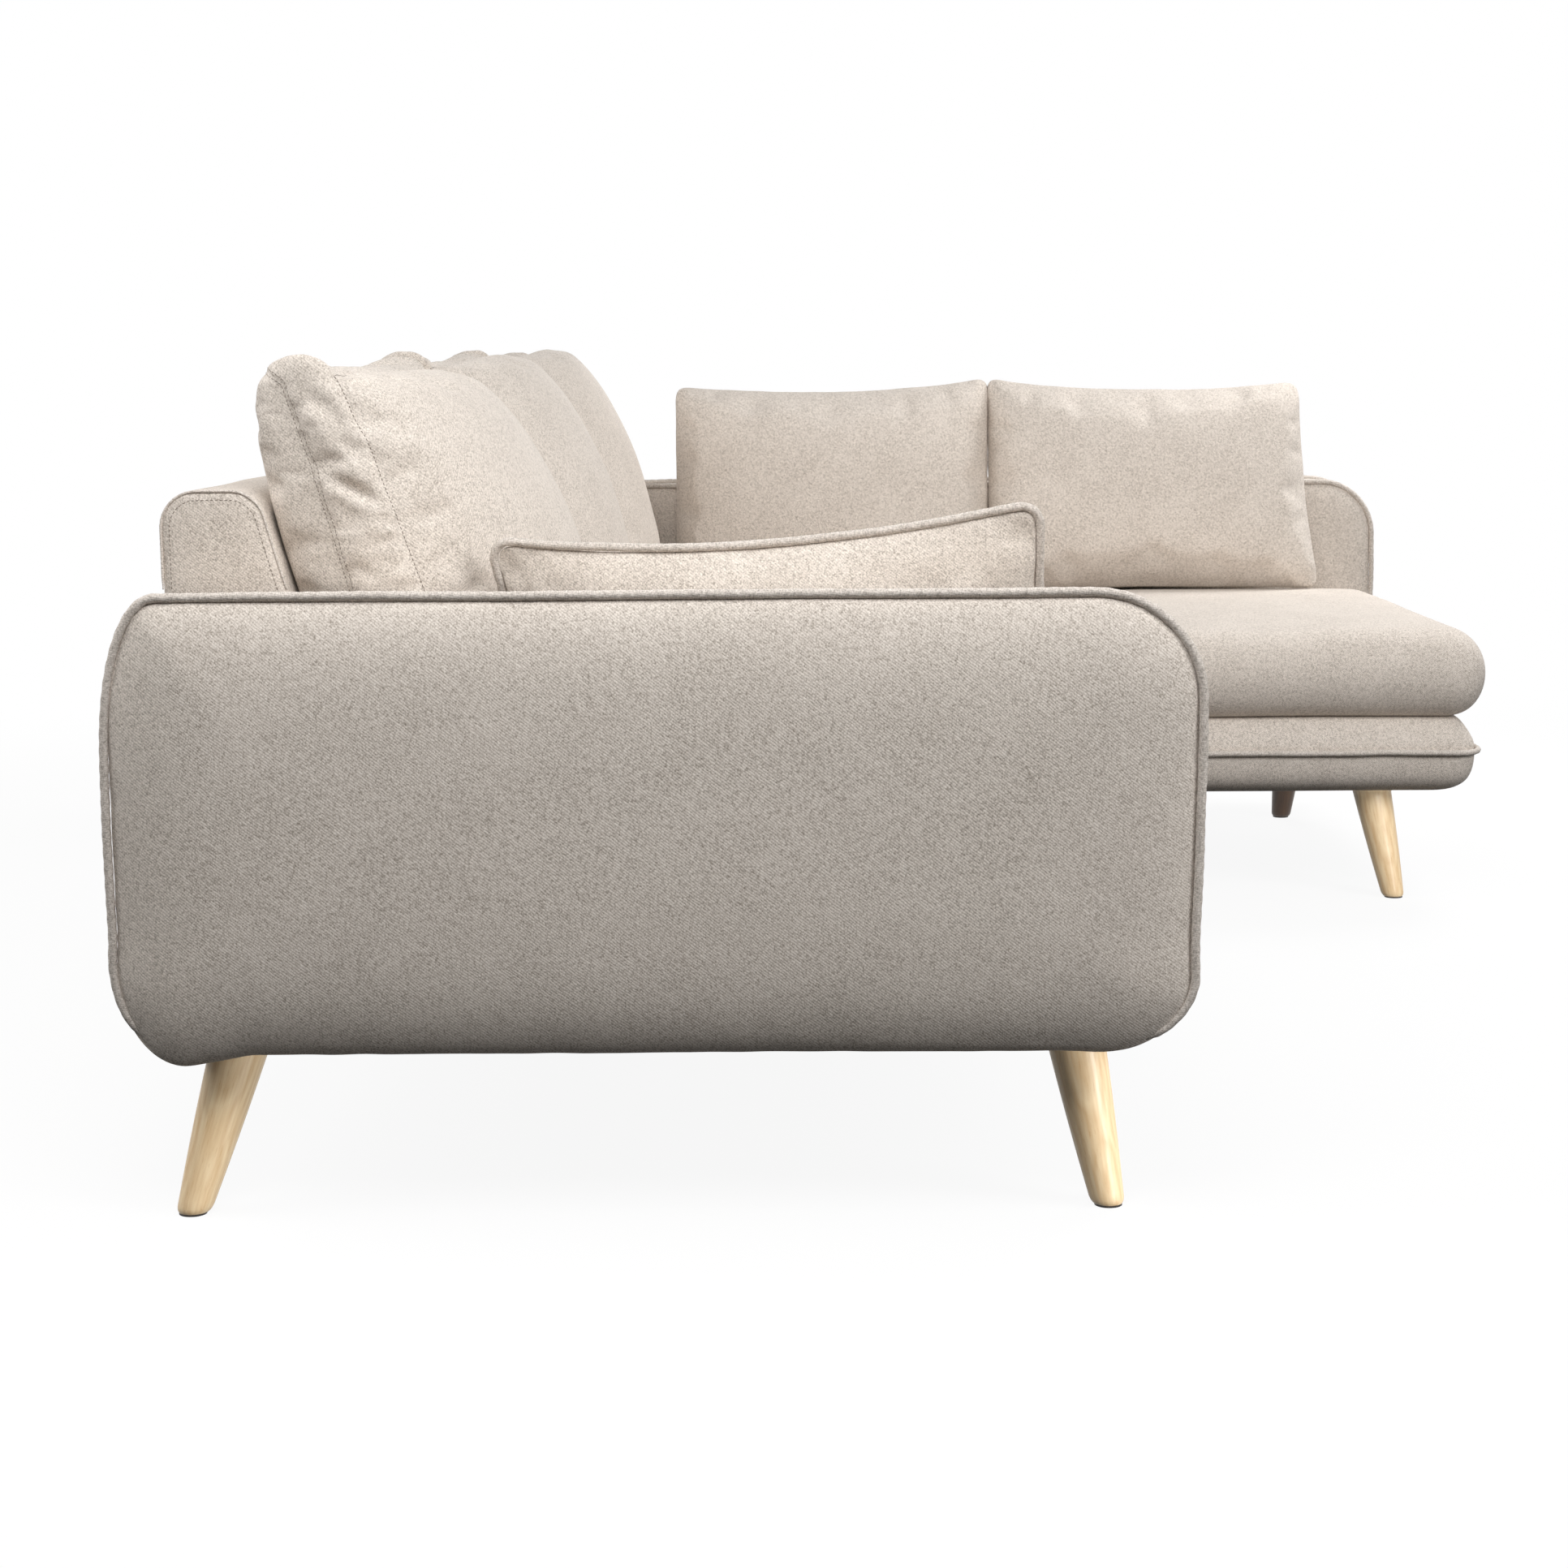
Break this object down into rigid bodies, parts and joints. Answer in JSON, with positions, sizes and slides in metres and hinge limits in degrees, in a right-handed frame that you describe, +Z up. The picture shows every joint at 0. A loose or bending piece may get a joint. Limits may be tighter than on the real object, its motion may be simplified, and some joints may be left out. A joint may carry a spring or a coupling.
{
  "type": "corner sofa",
  "caption": "Upholstered corner sofa: a run with a short rounded arm and raked back, joined to a chaise closed by a long arm, on splayed wooden legs.",
  "frame": {"origin": "middle of the footprint, on the floor under the glides", "axes": "+X along the run, from the short arm to the chaise; +Y to the back; +Z up; the front of the run faces -Y"},
  "size_m": [2.534, 1.676, 0.831],
  "materials": {
    "cover_fabric": "beige melange twill",
    "piping": "piping in the same twill, cut on the bias",
    "leg_oak": "satin lacquered pale wood",
    "frame_pine": "raw sawn timber",
    "steel": "zinc plated",
    "webbing": "elastic webbing",
    "dust_cloth": "black bonded cloth",
    "glide": "matt"
  },
  "bodies": {
    "sofa": {"short_arm_frame": "frame_pine", "long_arm_frame": "frame_pine", "run_back_frame": "frame_pine", "chaise_back_frame": "frame_pine", "run_base_frame": "frame_pine", "chaise_base_frame": "frame_pine", "run_webbing": "webbing", "chaise_webbing": "webbing", "short_arm_pad": "cover_fabric", "long_arm_pad": "cover_fabric", "run_back_pad": "cover_fabric", "chaise_back_pad": "cover_fabric", "run_base_pad": "cover_fabric", "chaise_base_pad": "cover_fabric", "run_seat_pad_near": "cover_fabric", "run_seat_pad_far": "cover_fabric", "chaise_seat_pad": "cover_fabric", "short_arm_outer_piping": "piping", "short_arm_inner_piping": "piping", "long_arm_outer_piping": "piping", "long_arm_inner_piping": "piping", "back_end_piping": "piping", "run_base_piping": "piping", "chaise_base_piping": "piping", "short_arm_front_leg": "leg_oak", "short_arm_rear_leg": "leg_oak", "run_front_leg": "leg_oak", "run_rear_leg": "leg_oak", "chaise_front_leg": "leg_oak", "chaise_rear_leg": "leg_oak", "long_arm_front_leg": "leg_oak", "long_arm_rear_leg": "leg_oak", "leg_plates": "steel", "leg_bolts": "steel", "leg_glides": "glide", "arm_bolts": "steel", "unit_connectors": "steel", "run_dust_cover": "dust_cloth", "chaise_dust_cover": "dust_cloth"},
    "near_back_cushion": {"back_cushion_near": "cover_fabric"},
    "middle_back_cushion": {"back_cushion_middle": "cover_fabric"},
    "far_back_cushion": {"back_cushion_far": "cover_fabric"},
    "rear_pillow": {"chaise_pillow_rear": "cover_fabric"},
    "front_pillow": {"chaise_pillow_front": "cover_fabric"},
    "lumbar": {"lumbar_pillow": "cover_fabric", "lumbar_piping": "piping"}
  },
  "joints": [
    {"name": "near_back_cushion_lift", "type": "slide", "parent": "sofa", "child": "near_back_cushion", "axis": [0, 0, 1], "range_m": [0, 0.3]},
    {"name": "middle_back_cushion_lift", "type": "slide", "parent": "sofa", "child": "middle_back_cushion", "axis": [0, 0, 1], "range_m": [0, 0.3]},
    {"name": "far_back_cushion_lift", "type": "slide", "parent": "sofa", "child": "far_back_cushion", "axis": [0, 0, 1], "range_m": [0, 0.3]},
    {"name": "rear_pillow_lift", "type": "slide", "parent": "sofa", "child": "rear_pillow", "axis": [0, 0, 1], "range_m": [0, 0.25]},
    {"name": "front_pillow_lift", "type": "slide", "parent": "sofa", "child": "front_pillow", "axis": [0, 0, 1], "range_m": [0, 0.25]},
    {"name": "lumbar_lift", "type": "slide", "parent": "sofa", "child": "lumbar", "axis": [0, 0, 1], "range_m": [0, 0.25]}
  ]
}
